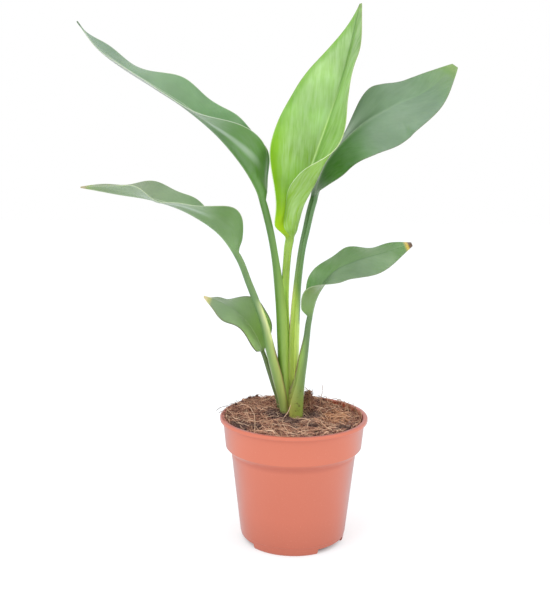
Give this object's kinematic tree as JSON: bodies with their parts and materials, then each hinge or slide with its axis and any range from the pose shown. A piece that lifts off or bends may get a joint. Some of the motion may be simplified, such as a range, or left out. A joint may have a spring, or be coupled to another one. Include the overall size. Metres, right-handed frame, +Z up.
{
  "type": "potted bird of paradise",
  "caption": "Young strelitzia with paddle leaves on long channelled stalks, fanned out above brown coir soil in a terracotta-coloured plastic nursery pot with drain notches in its foot.",
  "frame": {"origin": "The middle of the pot's foot, on the surface that it stands on.", "axes": "+Z is up. The leaves fan out in the X-Z plane, with the young leaf's tip to +X. -Y is the front, as in the picture."},
  "size_m": [0.2918, 0.12, 0.4274],
  "materials": {
    "pot_plastic": "satin terracotta-coloured plastic with faint specks",
    "soil": "brown coir and peat with loose tan fibres, darker where damp",
    "root": "pale fleshy root",
    "leaf_green": "smooth waxy leaf with fine side veins, paler and greyer underneath",
    "leaf_lime": "smooth young lime-green leaf with fine side veins and pale margins"
  },
  "bodies": {
    "root": {"pot": "pot_plastic", "soil": "soil", "root_crown": "root", "leaf_upper_left": "leaf_green", "leaf_lower_left": "leaf_green", "leaf_small_left": "leaf_green", "leaf_young": "leaf_lime", "leaf_upper_right": "leaf_green", "leaf_lower_right": "leaf_green"}
  },
  "joints": []
}
